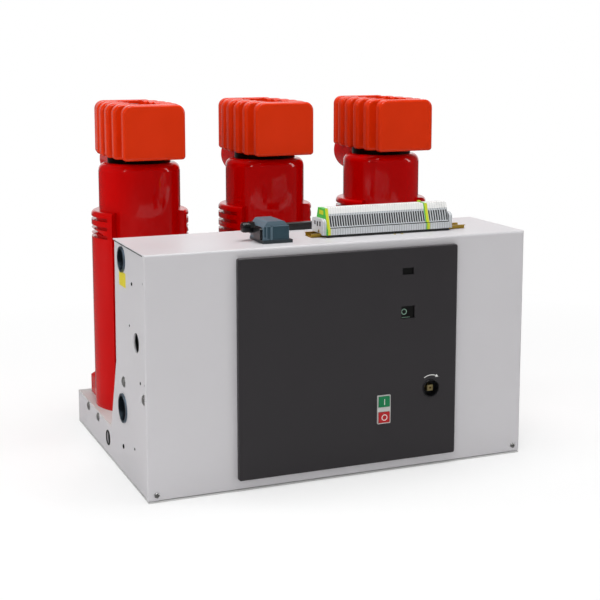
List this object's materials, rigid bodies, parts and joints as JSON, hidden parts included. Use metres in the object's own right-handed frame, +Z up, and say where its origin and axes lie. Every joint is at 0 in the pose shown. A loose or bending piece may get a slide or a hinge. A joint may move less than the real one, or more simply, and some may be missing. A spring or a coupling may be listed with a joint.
{
  "type": "indoor vacuum circuit breaker",
  "caption": "Fixed indoor vacuum circuit breaker: painted spring-mechanism housing, red cast-resin poles behind it with finned heat sinks, and a dark front panel with push-buttons.",
  "frame": {"origin": "on the floor, under the middle of the front face", "axes": "+X along the front to the right as seen from the front, +Y to the back, +Z up"},
  "size_m": [0.772, 0.598, 0.694],
  "materials": {
    "housing_paint": "light grey powder coat, fine texture",
    "base_paint": "light grey powder coat",
    "blued_steel": "turned steel tube, blue-grey zinc plating",
    "cast_resin": "glossy red cast epoxy",
    "coated_heat_sink": "red dipped insulating coating on cast aluminium",
    "tinned_copper": "tin-plated copper, machined",
    "contact_block": "darkened copper contact block",
    "moulded_panel": "dark grey moulded plastic, fine grain",
    "dark_window": "smoked window, seen from outside only",
    "pale_plastic": "pale grey moulded plastic",
    "grey_plastic": "grey moulded plastic",
    "green_plastic": "green moulded plastic",
    "red_plastic": "red moulded plastic",
    "black_plastic": "black moulded plastic",
    "brass_shaft": "machined brass",
    "passivated_rail": "yellow passivated steel rail",
    "terminal_grey": "light grey moulded polyamide",
    "earth_green": "green and yellow polyamide",
    "connector_grey": "blue-grey coated die casting"
  },
  "bodies": {
    "breaker": {"front_cover": "housing_paint", "side_plate_left": "housing_paint", "side_plate_right": "housing_paint", "back_plate": "housing_paint", "base_plate": "base_paint", "rear_deck": "base_paint", "upper_lifting_tube_left": "blued_steel", "upper_lifting_tube_right": "blued_steel", "lower_lifting_tube_left": "blued_steel", "lower_lifting_tube_right": "blued_steel", "pole_left": "cast_resin", "upper_terminal_left": "tinned_copper", "lower_terminal_left": "tinned_copper", "top_contact_left": "contact_block", "heat_sink_left": "coated_heat_sink", "pole_middle": "cast_resin", "upper_terminal_middle": "tinned_copper", "lower_terminal_middle": "tinned_copper", "top_contact_middle": "contact_block", "heat_sink_middle": "coated_heat_sink", "pole_right": "cast_resin", "upper_terminal_right": "tinned_copper", "lower_terminal_right": "tinned_copper", "top_contact_right": "contact_block", "heat_sink_right": "coated_heat_sink", "front_panel": "moulded_panel", "counter_window": "dark_window", "indicator_window": "dark_window", "button_frame": "pale_plastic", "button_bar": "grey_plastic", "trip_socket": "black_plastic", "din_rail": "passivated_rail", "terminal_row": "terminal_grey", "terminal_row_end": "terminal_grey", "earth_terminal_left": "earth_green", "earth_terminal_right": "earth_green", "end_stop_left": "terminal_grey", "end_stop_right": "terminal_grey", "connector_base": "connector_grey", "connector_hood": "connector_grey", "locking_lever": "black_plastic", "cable_gland": "black_plastic", "cable_sleeve": "black_plastic"},
    "on_button": {"on_button": "green_plastic"},
    "off_button": {"off_button": "red_plastic"},
    "trip_shaft": {"trip_shaft": "brass_shaft"}
  },
  "joints": [
    {"name": "on_button_press", "type": "slide", "parent": "breaker", "child": "on_button", "axis": [0, 1, 0], "range_m": [0, 0.004], "stiffness_N_per_m": 800, "springref_m": -0.003},
    {"name": "off_button_press", "type": "slide", "parent": "breaker", "child": "off_button", "axis": [0, 1, 0], "range_m": [0, 0.004], "stiffness_N_per_m": 800, "springref_m": -0.003},
    {"name": "manual_trip_turn", "type": "hinge", "parent": "breaker", "child": "trip_shaft", "pos_m": [0.177, 0, 0.157], "axis": [0, 1, 0], "range_deg": [0, 45], "stiffness_Nm_per_rad": 0.5, "springref_deg": -5.73}
  ]
}
